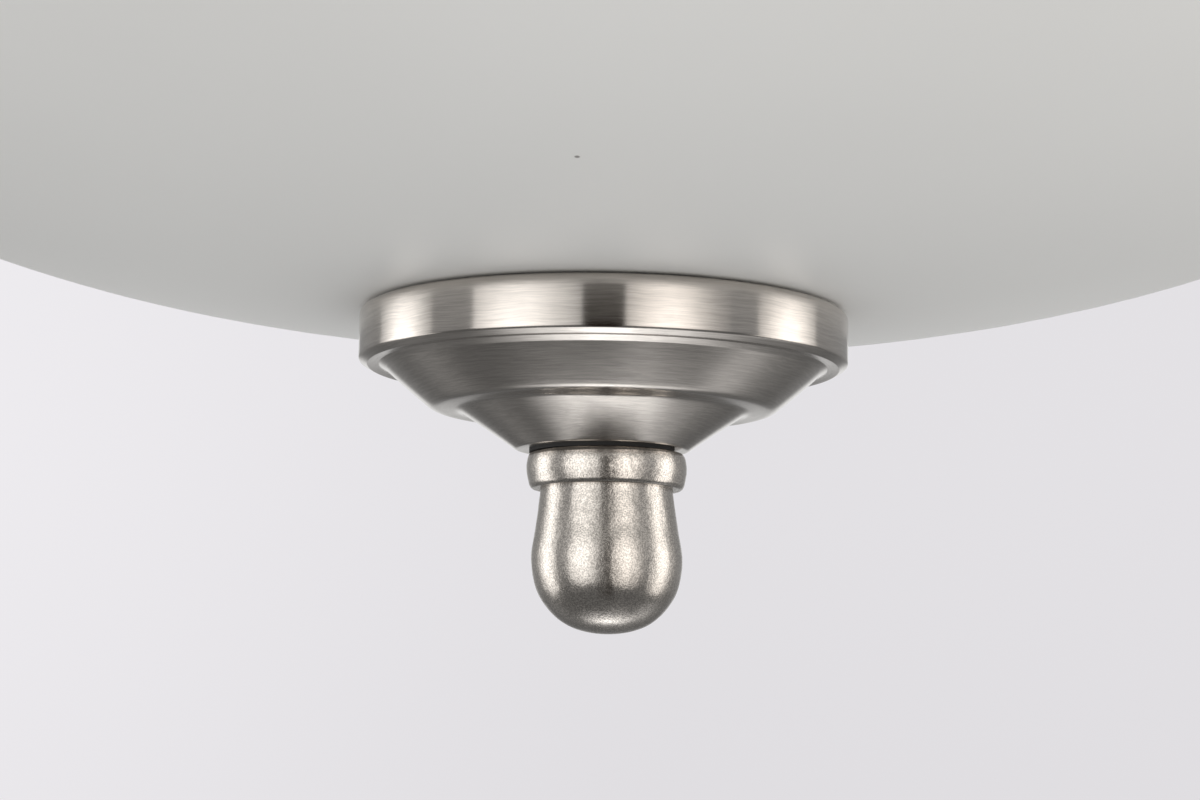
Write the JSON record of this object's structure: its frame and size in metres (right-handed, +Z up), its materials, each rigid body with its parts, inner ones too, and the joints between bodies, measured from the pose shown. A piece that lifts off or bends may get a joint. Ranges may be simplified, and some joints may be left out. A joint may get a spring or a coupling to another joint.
{
  "type": "flush mount ceiling light",
  "caption": "Flush mount ceiling light: a stepped metal pan, an opal glass bowl and a stepped cap held by a screw-on finial.",
  "frame": {"origin": "centre of the mounting strap's top face, in the plane of the ceiling", "axes": "+Z up towards the ceiling, +X along the mounting strap; the light hangs along -Z"},
  "size_m": [0.332, 0.332, 0.1637],
  "materials": {
    "brushed_nickel": "brushed nickel, fine streaks round the axis",
    "cast_nickel": "satin nickel over a grainy casting",
    "opal_glass": "satin opal white",
    "black_rubber": "matte",
    "black_fibre": "matte",
    "grey_foam": "open-cell foam",
    "foil_blanket": "glass wool",
    "zinc_steel": "bright zinc plate",
    "nickel_plate": "polished nickel",
    "green_screw": "green dyed zinc",
    "black_nylon": "moulded",
    "glazed_porcelain": "glazed porcelain",
    "brass_shell": "drawn brass",
    "brass_screw": "turned brass",
    "solder": "dull solder",
    "black_insulator": "black glass",
    "white_housing": "moulded satin white",
    "opal_plastic": "frosted opal"
  },
  "bodies": {
    "fixture": {"ceiling_pan": "brushed_nickel", "rim_gasket": "grey_foam", "insulation_blanket": "foil_blanket", "mounting_strap": "zinc_steel", "ground_screw": "green_screw", "mounting_screws": "zinc_steel", "cap_nuts": "nickel_plate", "threaded_tube": "zinc_steel", "tube_washer_upper": "zinc_steel", "tube_washer_lower": "zinc_steel", "tube_nut_upper": "zinc_steel", "tube_nut_lower": "zinc_steel", "wire_bushings": "black_nylon", "bracket_rivets": "zinc_steel", "holder_bracket_left": "zinc_steel", "holder_body_left": "glazed_porcelain", "holder_shell_left": "brass_shell", "holder_contact_left": "brass_shell", "holder_screws_left": "zinc_steel", "terminal_screws_left": "brass_screw", "holder_bracket_right": "zinc_steel", "holder_body_right": "glazed_porcelain", "holder_shell_right": "brass_shell", "holder_contact_right": "brass_shell", "holder_screws_right": "zinc_steel", "terminal_screws_right": "brass_screw"},
    "bowl": {"glass_bowl": "opal_glass", "bowl_grommet": "black_rubber"},
    "cap": {"stepped_cap": "brushed_nickel", "hub_washer": "black_fibre"},
    "finial_knob": {"finial": "cast_nickel"},
    "bulb_contact_left": {"bulb_tip_left": "solder"},
    "bulb_left": {"bulb_insulator_left": "black_insulator", "bulb_base_left": "nickel_plate", "bulb_housing_left": "white_housing", "bulb_diffuser_left": "opal_plastic"},
    "bulb_contact_right": {"bulb_tip_right": "solder"},
    "bulb_right": {"bulb_insulator_right": "black_insulator", "bulb_base_right": "nickel_plate", "bulb_housing_right": "white_housing", "bulb_diffuser_right": "opal_plastic"}
  },
  "joints": [
    {"name": "shade_lower", "type": "slide", "parent": "fixture", "child": "bowl", "axis": [0, 0, -1], "range_m": [0, 0.12]},
    {"name": "cap_drop", "type": "slide", "parent": "bowl", "child": "cap", "axis": [0, 0, -1], "range_m": [0, 0.01]},
    {"name": "finial_turn", "type": "hinge", "parent": "cap", "child": "finial_knob", "pos_m": [0, 0, -0.14016], "axis": [0, 0, -1], "range_deg": [0, 3827]},
    {"name": "bulb_advance_left", "type": "slide", "parent": "fixture", "child": "bulb_contact_left", "axis": [1, 0, 0], "range_m": [0, 0.02]},
    {"name": "bulb_turn_left", "type": "hinge", "parent": "bulb_contact_left", "child": "bulb_left", "pos_m": [-0.02, 0.044, -0.0618], "axis": [1, 0, 0], "range_deg": [0, 1984]},
    {"name": "bulb_advance_right", "type": "slide", "parent": "fixture", "child": "bulb_contact_right", "axis": [-1, 0, 0], "range_m": [0, 0.02]},
    {"name": "bulb_turn_right", "type": "hinge", "parent": "bulb_contact_right", "child": "bulb_right", "pos_m": [0.02, -0.044, -0.0618], "axis": [-1, 0, 0], "range_deg": [0, 1984]}
  ],
  "couplings": [
    {"joint": "finial_turn", "follows": "cap_drop", "rad_per_m": 6679},
    {"joint": "bulb_advance_left", "follows": "bulb_turn_left", "m_per_rad": 0.00057751},
    {"joint": "bulb_advance_right", "follows": "bulb_turn_right", "m_per_rad": 0.00057751}
  ]
}
